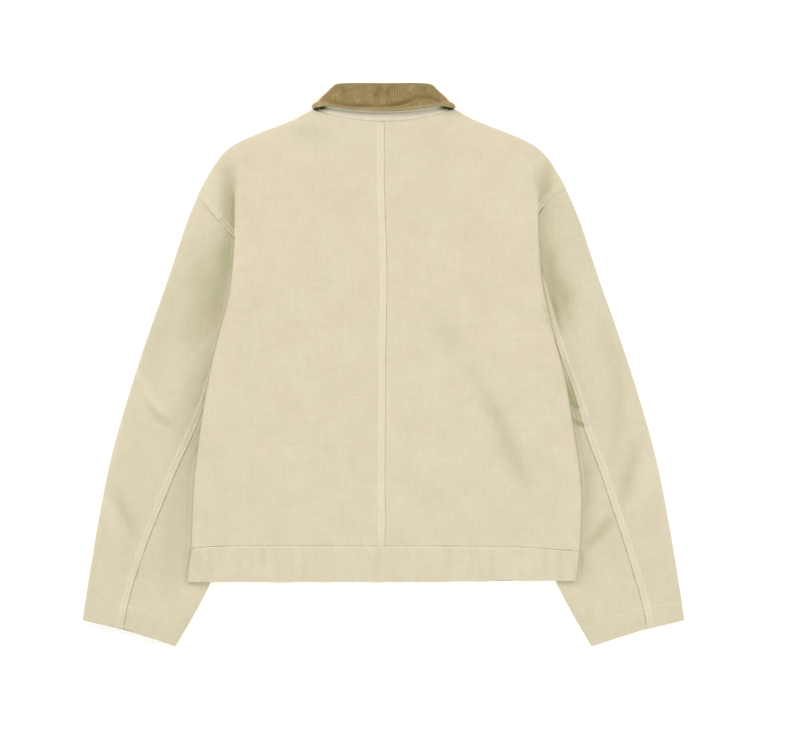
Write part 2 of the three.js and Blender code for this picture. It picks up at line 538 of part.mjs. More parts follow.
for (const side of [-1, 1]) {
  const name = sideName(side);
  const sections = SLEEVE_PLACES.map((place) => {
    const from = along(outline, mix(capPlace(side), 1, place));
    const to = along(innerFold, place);
    const long = from.distanceTo(to);
    const way = to.clone().sub(from).divideScalar(long);
    const bow = ARMHOLE_BOW[name] * clamp(1 - place * 5) + CUFF_BOW * place ** 6;
    const at = (d) => {
      const turn = Math.sin(Math.PI * clamp((d / long) * (place < 0.5 ? 1.4 : 1)));
      return { x: from.x + (way.x * d - way.y * bow * turn), y: from.y + way.y * d + way.x * bow * turn };
    };
    const cross = (beyond) => {
      let [low, high] = [0, long];
      for (let k = 0; k < 30; k++) {
        const middle = (low + high) / 2;
        if (beyond(at(middle))) low = middle;
        else high = middle;
      }
      return low;
    };
    const seam = cross((p) => p.x > read(SLEEVE_SEAM, name, p.y));
    const edge = cross((p) => outsideBody(side, p.x, p.y) > 1);
    const free = clamp(outsideBody(side, to.x, to.y) / 60);
    return { at, long, seam, edge, free, start: place === 0 ? SEAM : 0 };
  });
  const upper = (s, d) => {
    const p = s.at(d);
    const rim = mix(PRESSED - 0.2, SLEEVE_EDGE + 0.5, s.free);
    const z = mix(rim, armHeight(side, p.x, p.y), arch((s.long - d) / mix(CAP_ROUND, CUFF_ROUND, s.free)));
    return { ...p, z };
  };
  const put = (s, p) => point(side, p.x, p.y - s.start, p.z);
  const stripRise = (s, d) => {
    const p = s.at(d);
    return FELL_RISE * clamp((outsideBody(side, p.x, p.y) - 8) / 12);
  };
  const outer = sections.map((s) => {
    const strip = [s.seam, s.seam - FELL_WIDTH].map((d) => {
      const p = upper(s, d);
      return put(s, { ...p, z: p.z + stripRise(s, d) });
    });
    const from = s.seam - FELL_WIDTH - 1;
    const over = [from, ...aroundEdge(from - 2, 19, s.edge, [1, -4, -11, -22]), 16, 9, 4.5, 1.8, 0.5, 0];
    const turn = [30, 60].map((degrees) => {
      const angle = THREE.MathUtils.degToRad(90 - degrees);
      const p = s.at(SLEEVE_EDGE * (1 - Math.sin(angle)));
      return put(s, { ...p, z: SLEEVE_EDGE * (1 - Math.cos(angle)) });
    });
    const under = [SLEEVE_EDGE, 12, ...steps(s.long * 0.3, s.long * 0.8, 3), s.long - 8, s.long];
    return [
      ...strip,
      ...over.map((d) => put(s, upper(s, d))),
      ...turn,
      ...under.map((d) => put(s, { ...s.at(d), z: 0 })),
    ];
  });
  const cuff = (i) => (i >= SLEEVE_PLACES.length - 2 ? CUFF_HEM : CANVAS);
  const strips = sections.map((s) => [stripRise(s, s.seam), stripRise(s, s.seam - FELL_WIDTH)]);
  const outerThick = (i, j) => (j < 13 ? cuff(i) : CANVAS) + (j < 2 ? strips[i][j] : 0);
  add(`sleeve_${name}_outer`, wall(outer, outerThick, -side), CANVAS_CLOTH);
  const inner = sections.map((s) => {
    const from = s.seam + SEAM;
    const middle = aroundEdge(from + 8, s.long - 14, s.edge, [-22, -11, -4, 1]);
    const columns = [from, from + 8, ...middle, ...[12, 6, 2.5, 0.8, 0].map((d) => s.long - d)];
    return columns.map((d) => put(s, upper(s, d)));
  });
  add(`sleeve_${name}_inner`, wall(inner, CANVAS, side), CANVAS_CLOTH);
}

// Waistband: one strip across the back and one on each front, the left one lapping at the middle.
const BAND_ROWS = [0, 2, 12, 25, 38, 47.5, BAND_DEEP];
const bandY = (side, x, d) => {
  const share = d / BAND_DEEP;
  return mix(waistY(side, x), HEM_Y + 2 * ease((side * x) / 250), share);
};
const bandBack = BAND_ROWS.map((d, i) => {
  const soften = [0.6, 0, 0, 0, 0, 0.1, 0.5][i];
  const [left, right] = [-1, 1].map((side) => {
    const edge = bodyEdge(side, WAIST_Y - d);
    return [0, 0.7, 2.5, 6, 12, 24, ...steps(44, edge, 7)].map((away) => {
      const x = edge - away;
      const y = bandY(side, x, d);
      const level = backLevel(side, x, Math.max(y, WAIST_Y + 2)) + BAND - CANVAS + SEAM - soften;
      return point(side, x, y, mix(sideSeamTop + BAND - CANVAS, level, arch(away / CREASE_ROUND)));
    });
  });
  return [...left, ...right.reverse().slice(1)];
});
add("waistband_back", wall(bandBack, BAND, -1), CANVAS_CLOTH);
for (const side of [-1, 1]) {
  const rows = [0, 2, 25, 47.5, BAND_DEEP].map((d) => {
    const edge = bodyEdge(side, WAIST_Y - d) - LIP - 0.8;
    const columns = [-LAP, 0, LAP, LAP + 8, LAP + 22, ...steps(LAP + 50, edge - 44, 5), edge - 30];
    return [...columns, edge - 16, edge - 6, edge].map((x) => {
      const y = bandY(side, x, d);
      return point(side, x, y, Math.max(lapRise(side, x, BAND), sleeveLift(x, y)));
    });
  });
  add(`waistband_front_${sideName(side)}`, wall(rows, BAND, side), CANVAS_CLOTH);
}

// Collar. Round the neck each section goes from the leaf's free edge up to the roll and down the
// stand. The corduroy is outside; the canvas under-collar and neckband are its points, moved inside.
const half = COLLAR.map((row, k) => ({ ...row, k, side: 1 }));
const mirrored = half.slice(1).reverse().map((row) => ({ ...row, side: -1 }));
const LEAF_COLUMNS = [0, 0.12, 0.4, 0.72, 0.97];
const ROLL_COLUMNS = [20, 50, 76, 124, 150, 180];
const STAND_COLUMNS = [0.3, 0.7, 1];
const collar = [...mirrored, ...half].map((s) => {
  const angle = THREE.MathUtils.degToRad(s.angle);
  const lean = THREE.MathUtils.degToRad(s.lean);
  const deep = COLLAR_DEEP + s.lift;
  const spread = POINT_SPREAD * ease((s.k - 14) / 4);
  const place = (offset, up, out = 0) => {
    const away = NECK_GAP + offset;
    const x = s.x + away * Math.sin(angle) + up * Math.sin(lean) + out;
    return point(s.side, x, s.y + SEAM + up * Math.cos(lean), NECK_FACE + away * Math.cos(angle));
  };
  const middle = s.stand - deep / 2;
  const flare = s.angle < 90 ? 0.35 * s.lift : 0;
  return [
    ...LEAF_COLUMNS.map((q) =>
      place(deep + flare * (1 - q) ** 2, mix(s.stand - s.leaf, middle, q), spread * (1 - q)),
    ),
    ...ROLL_COLUMNS.map((degrees) => {
      const turn = THREE.MathUtils.degToRad(degrees);
      return place((deep / 2) * (1 + Math.cos(turn)), middle + (deep / 2) * Math.sin(turn));
    }),
    ...STAND_COLUMNS.map((q) => place(0, mix(middle, 0, q))),
  ];
});
add("collar_top", wall(collar, CORD, -1), CORD_CLOTH);
const lining = behind(collar, CORD + SEAM + 0.2, -1);
const turned = LEAF_COLUMNS.length + 3;
const under = lining.map((row) => row.slice(0, turned));
under.forEach((row) => {
  row[0] = row[0].clone().add(row[0].clone().sub(row[1]).setLength(RIM_SHOWN));
});
add("collar_under", wall(under, UNDER_CANVAS, -1), CANVAS_CLOTH);
add("neckband", wall(lining.map((row) => row.slice(turned)), UNDER_CANVAS, -1), CANVAS_CLOTH);

export default group;
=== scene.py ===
# A chore jacket of cream cotton canvas with a tan corduroy collar. It lies face down, so that
# its back shows, and the camera looks straight down on it.
import json
import math

import bmesh
import bpy
import numpy as np
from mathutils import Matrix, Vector
from mathutils.bvhtree import BVHTree

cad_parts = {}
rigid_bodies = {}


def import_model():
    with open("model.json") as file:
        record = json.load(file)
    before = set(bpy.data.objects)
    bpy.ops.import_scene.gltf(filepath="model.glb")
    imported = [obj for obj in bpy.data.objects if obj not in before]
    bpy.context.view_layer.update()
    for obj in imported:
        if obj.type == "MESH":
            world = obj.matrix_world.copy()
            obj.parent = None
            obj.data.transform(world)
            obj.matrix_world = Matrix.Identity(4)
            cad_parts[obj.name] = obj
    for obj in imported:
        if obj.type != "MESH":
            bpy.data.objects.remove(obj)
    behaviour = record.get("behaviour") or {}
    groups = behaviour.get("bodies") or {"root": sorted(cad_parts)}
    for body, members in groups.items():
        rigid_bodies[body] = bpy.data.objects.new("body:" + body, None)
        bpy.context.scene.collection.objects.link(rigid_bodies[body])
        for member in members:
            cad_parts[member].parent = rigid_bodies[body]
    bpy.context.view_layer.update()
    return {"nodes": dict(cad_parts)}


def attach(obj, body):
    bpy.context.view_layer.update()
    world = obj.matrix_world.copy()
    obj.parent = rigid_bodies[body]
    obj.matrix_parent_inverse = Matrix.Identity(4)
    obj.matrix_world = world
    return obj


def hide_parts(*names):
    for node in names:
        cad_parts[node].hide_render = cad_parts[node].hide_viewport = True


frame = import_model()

# Camera, floor and light
# A long lens straight above, as for a catalogue picture. The table is a matt white light table, and
# three wide soft lights with a pale fill leave only the shade between the layers of cloth.
MM = 0.001
PHOTO_WIDTH = 800 * 1.39 * MM  # 800 pixels of 1.39 mm
PHOTO_CENTRE = (22.9 * MM, -4.9 * MM)
LENS = 360.0


def linear(colour):
    """An sRGB hex colour as linear RGBA."""
    parts = [int(colour[i : i + 2], 16) / 255 for i in (1, 3, 5)]
    return (*[c / 12.92 if c <= 0.04045 else ((c + 0.055) / 1.055) ** 2.4 for c in parts], 1.0)


lens_data = bpy.data.cameras.new("camera")
lens_data.lens = LENS
camera = bpy.data.objects.new("camera", lens_data)
camera.location = (*PHOTO_CENTRE, PHOTO_WIDTH * LENS / lens_data.sensor_width)
lens_data.clip_end = 50
bpy.context.scene.collection.objects.link(camera)
bpy.context.scene.camera = camera
bpy.context.scene.view_settings.view_transform = "Standard"

bpy.ops.object.select_all(action="DESELECT")
bpy.ops.mesh.primitive_plane_add(size=9, location=(0, 0, -0.4 * MM))
floor = bpy.context.object
floor.name = "floor"
paint = bpy.data.materials.new("matt_white_table")  # a matt white plastic sheet, lit from below
paint.use_nodes = True
surface = paint.node_tree.nodes["Principled BSDF"]
surface.inputs["Base Color"].default_value = linear("#FDFDFF")
surface.inputs["Roughness"].default_value = 0.85
surface.inputs["Emission Color"].default_value = linear("#FFFFFF")
surface.inputs["Emission Strength"].default_value = 0.3
floor.data.materials.append(paint)

for name, place, size, watts, colour in (
    ("key_light", (-2.0, 1.9, 1.7), 1.2, 40, "#FFF6EE"),
    ("side_light", (2.3, 0.9, 1.7), 1.4, 23, "#FFF7F1"),
    ("front_light", (0.3, -2.2, 2.2), 2.0, 22, "#FFFCF8"),
):
    light_data = bpy.data.lights.new(name, "AREA")
    light_data.size = size
    light_data.energy = watts
    light_data.color = linear(colour)[:3]
    lamp = bpy.data.objects.new(name, light_data)
    lamp.location = place
    lamp.rotation_euler = (-Vector(place)).to_track_quat("-Z", "Y").to_euler()
    bpy.context.scene.collection.objects.link(lamp)

world = bpy.context.scene.world or bpy.data.worlds.new("studio")
bpy.context.scene.world = world
world.use_nodes = True
air = world.node_tree.nodes["Background"]
air.inputs["Color"].default_value = linear("#F5F8F0")
air.inputs["Strength"].default_value = 0.62

# Cotton canvas
# Heavy plain-woven duck, piece-dyed cream and washed once: matt, a little uneven, with soft thick
# threads both ways. The real threads are 0.6 mm apart; they are drawn 1.3 mm apart so they show.
THREAD = 1.3 * MM


def add_node(tree, kind, settings=None, links=None):
    """Adds a shader node, sets its properties and sockets, and links its inputs."""
    node = tree.nodes.new(kind)
    for name, value in (settings or {}).items():
        if name in node.inputs:
            node.inputs[name].default_value = value
        else:
            setattr(node, name, value)
    for name, output in (links or {}).items():
        tree.links.new(output, node.inputs[name])
    return node


def cotton_canvas(name, colour, worn, dusk, shadow, pale):
    """Matt washed canvas: close tones in clouds and slubs, with painted shade, painted highlights and pale
    rubbed wear mixed in from the tone attribute.
    """
    material = bpy.data.materials.new(name)
    material.use_nodes = True
    tree = material.node_tree
    cloth = tree.nodes["Principled BSDF"]
    cloth.inputs["Roughness"].default_value = 0.92
    cloth.inputs["Specular IOR Level"].default_value = 0.25
    cloth.inputs["Sheen Weight"].default_value = 0.12
    cloth.inputs["Sheen Roughness"].default_value = 0.6
    place = add_node(tree, "ShaderNodeTexCoord").outputs["Object"]
    patchy = {"Scale": 20.0, "Detail": 6.0, "Roughness": 0.65}
    clouds = add_node(tree, "ShaderNodeTexNoise", patchy, {"Vector": place})
    tones = add_node(tree, "ShaderNodeValToRGB", links={"Fac": clouds.outputs["Fac"]})
    tones.color_ramp.elements[0].position = 0.2
    tones.color_ramp.elements[0].color = linear(dusk)
    tones.color_ramp.elements[1].position = 0.8
    tones.color_ramp.elements[1].color = linear(worn)
    tones.color_ramp.elements.new(0.5).color = linear(colour)
    shade = tones.outputs["Color"]
    painted = add_node(tree, "ShaderNodeAttribute", {"attribute_name": "tone"}).outputs["Fac"]
    # Tone below 0 mixes toward the shadow colour as painted shade; tone above 0 mixes toward the pale colour
    # as rubbed wear and painted highlight.
    for low, high, other in ((0.0, -1.0, shadow), (0.0, 1.0, pale)):
        amount = add_node(
            tree,
            "ShaderNodeMapRange",
            {"From Min": low, "From Max": high, "To Min": 0.0, "To Max": 1.0},
            {"Value": painted},
        )
        blend = add_node(tree, "ShaderNodeMix", {"data_type": "RGBA"}, {"Factor": amount.outputs["Result"]})
        tree.links.new(shade, blend.inputs[6])
        blend.inputs[7].default_value = linear(other)
        shade = blend.outputs[2]
    heights = []
    for along, across in (((0.12, 1.0, 1.0), "Y"), ((1.0, 0.12, 1.0), "X")):
        stretched = add_node(tree, "ShaderNodeMapping", {"Scale": along}, {"Vector": place})
        slub = add_node(
            tree,
            "ShaderNodeTexNoise",
            {"Scale": 0.5 / THREAD, "Detail": 2.0},
            {"Vector": stretched.outputs["Vector"]},
        )
        close = {"From Min": 0.3, "From Max": 0.7, "To Min": 0.975, "To Max": 1.02}
        weight = add_node(tree, "ShaderNodeMapRange", close)
        tree.links.new(slub.outputs["Fac"], weight.inputs["Value"])
        tinted = add_node(
            tree,
            "ShaderNodeVectorMath",
            {"operation": "SCALE"},
            {0: shade, "Scale": weight.outputs["Result"]},
        )
        shade = tinted.outputs["Vector"]
        spun = {"bands_direction": across, "Scale": math.pi / (10 * THREAD), "Distortion": 0.6}
        threads = add_node(tree, "ShaderNodeTexWave", {**spun, "Detail Scale": 2.0}, {"Vector": place})
        heights.append(threads.outputs["Fac"])
        heights.append(slub.outputs["Fac"])
    tree.links.new(shade, cloth.inputs["Base Color"])
    weave = add_node(tree, "ShaderNodeMath", {"operation": "MULTIPLY"}, {0: heights[0], 1: heights[2]})
    slubs = add_node(tree, "ShaderNodeMath", {"operation": "ADD"}, {0: heights[1], 1: heights[3]})
    both = add_node(tree, "ShaderNodeMath", {"operation": "ADD"}, {0: weave.outputs[0], 1: slubs.outputs[0]})
    relief = add_node(
        tree,
        "ShaderNodeBump",
        {"Strength": 0.35, "Distance": 0.25 * MM},
        {"Height": both.outputs[0]},
    )
    tree.links.new(relief.outputs["Normal"], cloth.inputs["Normal"])
    return material


# The jacket's canvas: its cream, then its worn and dull cloud tones, the greenish colour of painted shade,
# and the pale of rubbed wear and painted highlights.
canvas = cotton_canvas("washed_cotton_canvas", "#DDD3BD", "#E1D8C3", "#D8CEB6", "#A3A37C", "#EDE4D2")


def smooth_step(values):
    """Values clamped to 0 and 1, and eased between them."""
    s = np.clip(values, 0, 1)
    return s * s * (3 - 2 * s)


def curve(points, count=40):
    """A smooth line of even steps through points given in millimetres, in metres."""
    table = np.array(points, float) * MM
    rows = np.vstack([2 * table[0] - table[1], table, 2 * table[-1] - table[-2]])
    line = []
    for p0, p1, p2, p3 in zip(rows, rows[1:], rows[2:], rows[3:]):
        for t in np.linspace(0, 1, 12, endpoint=False):
            bend, twist = 2 * p0 - 5 * p1 + 4 * p2 - p3, 3 * p1 - p0 - 3 * p2 + p3
            line.append(0.5 * (2 * p1 + (p2 - p0) * t + bend * t**2 + twist * t**3))
    line = np.array([*line, table[-1]])
    length = np.concatenate([[0], np.cumsum(np.hypot(*np.diff(line, axis=0).T))])
    even = np.linspace(0, length[-1], count)
    return np.stack([np.interp(even, length, line[:, k]) for k in (0, 1)], axis=1)


def near_line(x, y, line, reach=9.0):
    """Distance to a line, share of the way along it, and its unit normal, for places in its reach."""
    best = np.full(x.shape, 9.0)
    share = np.zeros(x.shape)
    across = np.zeros((len(x), 2))
    if reach < 1:
        low, high = line.min(axis=0) - reach, line.max(axis=0) + reach
        inside = (x > low[0]) & (x < high[0]) & (y > low[1]) & (y < high[1])
        best[inside], share[inside], across[inside] = near_line(x[inside], y[inside], line)
        return best, share, across
    for i in range(len(line) - 1):
        a, d = line[i], line[i + 1] - line[i]
        s = np.clip(((x - a[0]) * d[0] + (y - a[1]) * d[1]) / (d @ d), 0, 1)
        gap = np.hypot(x - a[0] - s * d[0], y - a[1] - s * d[1])
        near = gap < best
        best[near] = gap[near]
        share[near] = ((i + s) / (len(line) - 1))[near]
        across[near] = np.array([-d[1], d[0]]) / np.hypot(*d)
    return best, share, across


def crease(x, y, path, half):
    """How near each place is to a soft line, from 0 to 1, fading to nothing at the line's ends."""
    gap, share, _ = near_line(x, y, curve(path, 12), 2.6 * half * MM)
    return np.exp(-((gap / (half * MM)) ** 2)) * np.sin(np.pi * np.clip(share, 0.02, 0.98)) ** 0.7


def strokes(x, y, table):
    """The sum of a table's soft lines, each with its strength and half-width in millimetres."""
    total = np.zeros(x.shape)
    for path, strength, half in table:
        total += strength * crease(x, y, path, half)
    return total


def ripple(x, y, seed, size, count=7):
    """Slow uneven waves over the cloth, about as long as size, between about -1 and 1."""
    dice = np.random.default_rng(seed)
    total = np.zeros(x.shape)
    for _ in range(count):
        turn = dice.uniform(0, 2 * math.pi)
        length = size * MM * dice.uniform(0.7, 1.6)
        along = x * math.cos(turn) + y * math.sin(turn)
        total += np.sin(along * 2 * math.pi / length + dice.uniform(0, 6.3))
    return total / count**0.5 / 1.4


def read_points(mesh, name="co"):
    """A mesh's vertex places or normals, as rows."""
    flat = np.empty(len(mesh.vertices) * 3)
    mesh.vertices.foreach_get(name, flat)
    return flat.reshape(-1, 3)


def relax(mesh, share, rounds):
    """Lets the height of each vertex settle between its neighbours', by its share from 0 to 1."""
    pairs = np.empty(len(mesh.edges) * 2, int)
    mesh.edges.foreach_get("vertices", pairs)
    a, b = pairs.reshape(-1, 2).T
    places = read_points(mesh)
    z = places[:, 2]
    count = np.bincount(a, minlength=len(z)) + np.bincount(b, minlength=len(z))
    for _ in range(rounds):
        near = np.bincount(a, z[b], len(z)) + np.bincount(b, z[a], len(z))
        z += (near / count - z) * share * 0.6
    mesh.vertices.foreach_set("co", places.ravel())
    mesh.update()


RIM_TURN = math.radians(52)  # edges sharper than this are the rim of the cut cloth
RIM_CREASE = 0.92
SETTLING = 24  # rounds


def cloth_from(node, levels, shape, tone=None, finish=canvas, settle=None):
    """A smooth thin shell on the form of a cut piece, with its creases pressed in."""
    piece = bpy.data.objects.new(f"cloth_{node}", frame["nodes"][node].data.copy())
    bpy.context.scene.collection.objects.link(piece)
    bpy.ops.object.select_all(action="DESELECT")
    piece.select_set(True)
    bpy.context.view_layer.objects.active = piece
    bpy.ops.mesh.customdata_custom_splitnormals_clear()
    bpy.ops.object.mode_set(mode="EDIT")
    bpy.ops.mesh.select_all(action="SELECT")
    bpy.ops.mesh.remove_doubles(threshold=0.01 * MM)
    bpy.ops.mesh.tris_convert_to_quads(face_threshold=math.radians(60), shape_threshold=math.radians(80))
    bpy.ops.object.mode_set(mode="OBJECT")
    work = bmesh.new()
    work.from_mesh(piece.data)
    cut = work.edges.layers.float.get("crease_edge") or work.edges.layers.float.new("crease_edge")
    for edge in work.edges:
        if edge.is_manifold and edge.calc_face_angle() > RIM_TURN:
            edge[cut] = RIM_CREASE
    work.to_mesh(piece.data)
    work.free()
    for kind, count in (("SIMPLE", 1), ("CATMULL_CLARK", levels - 1)):
        finer = piece.modifiers.new("finer", "SUBSURF")
        finer.subdivision_type = kind
        finer.levels = count
        bpy.ops.object.modifier_apply(modifier="finer")
    mesh = piece.data
    if settle:
        relax(mesh, settle(read_points(mesh), read_points(mesh, "normal")), SETTLING)
    places = read_points(mesh)
    places += shape(places, read_points(mesh, "normal")) * MM
    mesh.vertices.foreach_set("co", places.ravel())
    mesh.update()
    if tone:
        # The tone attribute holds painted shade and painted highlights, along with pale rubbed wear, for the
        # material to mix in.
        painted = mesh.attributes.new("tone", "FLOAT", "POINT")
        painted.data.foreach_set("value", np.clip(tone(places), -1, 1))
    bpy.ops.object.shade_smooth()
    mesh.materials.clear()
    mesh.materials.append(finish)
    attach(piece, "root")
    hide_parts(node)
    return piece


def up(height):
    """Heights as moves straight up."""
    return np.stack([np.zeros_like(height), np.zeros_like(height), height], axis=1)


# Back panels
# Two panels of canvas, left felled over right down the middle. They sag into soft folds from the
# shoulder blades to the waist, and pucker a little along every sewn edge.
CENTRE_SEAM = curve(((0.9, 340), (0.9, 250), (4.6, 125), (2.5, 0), (2, -120), (2.2, -252)), 120)
NECK_SEAM = curve([(x, 338.2 + 17.8 * (abs(x) / 97.5) ** 2.2) for x in range(-98, 99, 14)], 90)
WAIST_SEAM = curve(
    ((-268, -255), (-238, -251.8), (-120, -251.5), (0, -251.6), (190, -253), (272, -258.5)),
    120,
)
ARMHOLES = {
    "left": curve(((-258.1, 235.6), (-238.1, 212.3), (-206.6, 175.5)), 40),
    "right": curve(((252.1, 248), (239.5, 237.9), (227, 226.1), (215, 210.5)), 40),
}
CAP_CREASES = {
    "left": curve(((-180, 294), (-197, 284), (-204, 262), (-206.5, 226), (-206.6, 176)), 40),
    "right": curve(((184, 298), (202, 289), (211, 268), (214, 240), (215, 210)), 40),
}
BODY_EDGES = {
    "left": curve(
        (
            *((-206, 178), (-211.5, 118), (-230.5, 35), (-243, -21)),
            *((-254.5, -90), (-264, -174), (-267, -252)),
        ),
        60,
    ),
    "right": curve(
        (
            *((215, 212), (219.5, 118), (225, 90), (238, 35)),
            *((252.5, -21), (264, -90), (275, -174), (272.5, -252)),
        ),
        60,
    ),
}
# Each fold, or stroke of painted shade or painted highlight, is a soft line: its points, its height or tone,
# and its half-width, in millimetres.
BACK_FOLDS = (
    (((120, -4), (158, -82), (210, -206)), -1.9, 6),
    (((104, -8), (146, -96), (192, -214)), 1.0, 10),
    (((146, -14), (178, -88), (222, -190)), 0.8, 9),
    (((150, 40), (196, -40), (214, -120)), 0.9, 12),
    (((120, 132), (134, 92), (150, 58)), -1.0, 8),
    (((146, 116), (158, 86), (172, 46)), -0.9, 6),
    (((176, 104), (184, 76), (196, 40)), -0.7, 6),
    (((60, 52), (86, 30), (112, 30)), -1.0, 9),
    (((212, 30), (224, 16), (244, -4)), -1.2, 4),
    (((206, 6), (222, -6), (240, -16)), -0.8, 4),
    (((-206, 76), (-190, 72), (-168, 76)), -1.0, 5),
    (((-104, -166), (-80, -170), (-50, -177)), -0.9, 5),
    (((-60, -10), (-48, -50), (-24, -98)), -0.7, 8),
    (((-180, 180), (-150, 120), (-120, 20)), -0.8, 20),
    (((60, 250), (90, 180), (100, 90)), -0.7, 22),
    (((30, -120), (90, -170), (150, -236)), 0.8, 16),
    (((-230, -60), (-200, -140), (-190, -230)), -0.8, 14),
    (((-170, 316), (-120, 322), (-74, 316)), -0.9, 9),
    (((186, 262), (193, 214), (196, 150)), -0.9, 8),
    (((-188, 262), (-190, 214), (-194, 150)), -0.9, 8),
    (((214, 66), (224, 58), (236, 54)), -2.2, 2.6),
    (((218, 92), (224, 78), (231, 68)), -1.8, 2.6),
    (((222, 50), (230, 42), (240, 38)), -1.5, 2.8),
    (((258, -234), (268, -243), (280, -246)), -1.3, 3.5),
    (((-280, -238), (-262, -244), (-246, -243)), -0.9, 3.5),
    (((148, 300), (170, 288), (184, 268)), -0.5, 9),
)
CAP_FOLDS = (
    (((-226, 268), (-219, 240), (-216, 196)), -1.0, 6),
    (((228, 280), (226, 262), (222, 232)), -1.4, 6),
    (((240, 262), (232, 248), (222, 236)), 0.9, 5),
    (((-246, 246), (-232, 226), (-218, 200)), 0.5, 8),
)


def stretch(x, y, line, seed, across, along):
    """Small uneven puckers along a sewn line, fading away from it."""
    gap, share, _ = near_line(x, y, line, 2.6 * across * MM)
    length = len(line) * np.hypot(*(line[1] - line[0]))
    dice = np.random.default_rng(seed)
    total = np.zeros(x.shape)
    for k in range(5):
        waves = length / (along * MM * dice.uniform(0.6, 1.9))
        total += np.sin(2 * np.pi * waves * share + dice.uniform(0, 6.3)) / 2.2
    return total * np.exp(-((gap / (across * MM)) ** 2))


def faces_up_or_down(normals):
    """1 on the faces of a flat piece and 0 round its rim."""
    return smooth_step((normals[:, 2] ** 2 - 0.1) / 0.5)


def offset_line(line, distance):
    """A line moved sideways, to its left, by millimetres."""
    way = np.gradient(line, axis=0)
    way /= np.hypot(*way.T)[:, None]
    return line + np.stack([-way[:, 1], way[:, 0]], axis=1) * distance * MM


def lapped(x, y, line, reach, fade=5):
    """Moves, in millimetres, that carry a piece's edge over the edge that it is sewn to."""
    gap, _, across = near_line(x, y, line, fade * MM)
    return across * (reach * np.clip(1 - gap / (fade * MM), 0, 1))[:, None]


def back_shape(places, normals):
    """Folds, puckers and lapped edges of the back, in millimetres."""
    x, y, _ = places.T
    side = "left" if x.mean() < 0 else "right"
    sign = 1 if side == "left" else -1
    level = faces_up_or_down(normals)
    crease_gap, _, _ = near_line(x, y, CAP_CREASES[side], 15 * MM)
    edge_gap, _, _ = near_line(x, y, BODY_EDGES[side], 15 * MM)
    clear = smooth_step(np.minimum(crease_gap, edge_gap) / (14 * MM))
    height = 0.35 * ripple(x, y, 3, 90) + 0.14 * ripple(x, y, 4, 30)
    height = (height + strokes(x, y, BACK_FOLDS)) * (0.25 + 0.75 * clear)
    height += strokes(x, y, CAP_FOLDS)
    height += 0.35 * stretch(x, y, WAIST_SEAM, 5, 16, 22) + 0.3 * stretch(x, y, NECK_SEAM, 7, 10, 22)
    height += 0.3 * stretch(x, y, CENTRE_SEAM, 6, 15, 30) + 0.35 * stretch(x, y, ARMHOLES[side], 8, 9, 13)
    under = normals[:, 2] < 0
    height[under] = np.maximum(height[under], -0.2)
    moves = up(height * level)
    moves[:, :2] += lapped(x, y, ARMHOLES[side], -0.3 * sign)
    moves[:, :2] += lapped(x, y, NECK_SEAM, 0.35)
    if side == "left":
        moves[:, :2] += lapped(x, y, CENTRE_SEAM, 0.25)
    return moves


FELL = 10.2  # millimetres across a felled seam's paler strip
FELLED_ROWS = (1.5, 7.8)  # millimetres from the seam to its two rows of stitches


def edge_tone(x, y, line, wide, strength):
    """A strip of tone along an edge; it paints rubbed wear, painted highlights and, subtracted, painted
    shade lines.
    """
    gap, share, _ = near_line(x, y, line, 1.6 * wide * MM)
    inside = np.clip(np.minimum(share, 1 - share) * 60, 0, 1)
    return strength * smooth_step((wide + 0.5 - gap / MM) / 1.2) * inside


# Painted shade in the cloth just outside the body's edge, where the raised edge would shade it. Each row has
# a height on the jacket in millimetres, how dark the painted shade is there, and how wide in millimetres.
VALLEY_PAINTED_SHADE = {
    "left": (
        *((288, 0, 9), (270, 0.35, 8), (250, 0.75, 7), (231, 1.1, 7), (210, 1.3, 7), (183, 0.95, 14)),
        *((156, 0.85, 15), (115, 0.35, 12), (75, 0.45, 9), (30, 0.5, 9), (-40, 0.7, 18), (-100, 0.65, 20)),
        *((-160, 0.45, 16), (-230, 0.5, 10), (-285, 0.45, 9), (-312, 0, 9)),
    ),
    "right": (
        *((286, 0, 9), (266, 0.4, 8), (244, 0.6, 12), (214, 0.6, 16), (183, 0.6, 16), (156, 0.65, 15)),
        *((115, 0.55, 11), (75, 0.3, 8), (40, 0.35, 9), (-10, 0.2, 8), (-50, 0.9, 9), (-100, 0.6, 9)),
        *((-200, 0.6, 10), (-285, 0.4, 9), (-312, 0, 9)),
    ),
}


def painted_valley_shade(x, y, side):
    """Painted shade in the crease outside the body's edge, deepest at the edge, of the depth and width
    listed.
    """
    line = np.vstack([CAP_CREASES[side][:-1], BODY_EDGES[side]])[::-1]
    out = np.abs(x) - np.interp(y, line[:, 1], np.abs(line[:, 0]))
    table = np.array(VALLEY_PAINTED_SHADE[side][::-1]) * (MM, 1, MM)
    deep, wide = (np.interp(y, table[:, 0], table[:, k]) for k in (1, 2))
    soft = 2.5 + 9 * smooth_step((y / MM - 228) / 30)
    return deep * smooth_step(out / (soft * MM) + 0.25) * np.exp(-np.clip(out, 0, 1) / wide)


# Painted shade in creases, and painted highlights on ridges where the tone is above 0.
BACK_PAINTED_SHADING = (
    (((-218, 290), (-218, 246), (-218, 180)), -0.35, 9),
    (((228, 290), (228, 262), (222, 220)), -0.35, 9),
    (((120, -4), (160, -80), (206, -196)), -0.26, 14),
    (((84, 60), (92, 36), (84, 10)), -0.15, 16),
    (((218, 86), (225, 76), (234, 66)), -0.4, 2.2),
    (((224, 68), (231, 60), (239, 56)), -0.5, 2.2),
    (((230, 50), (236, 46), (242, 44)), -0.4, 2.0),
    (((-130, 316), (-100, 320), (-70, 312)), -0.15, 14),
    (((160, 90), (176, 60), (186, 10)), 0.15, 14),
)


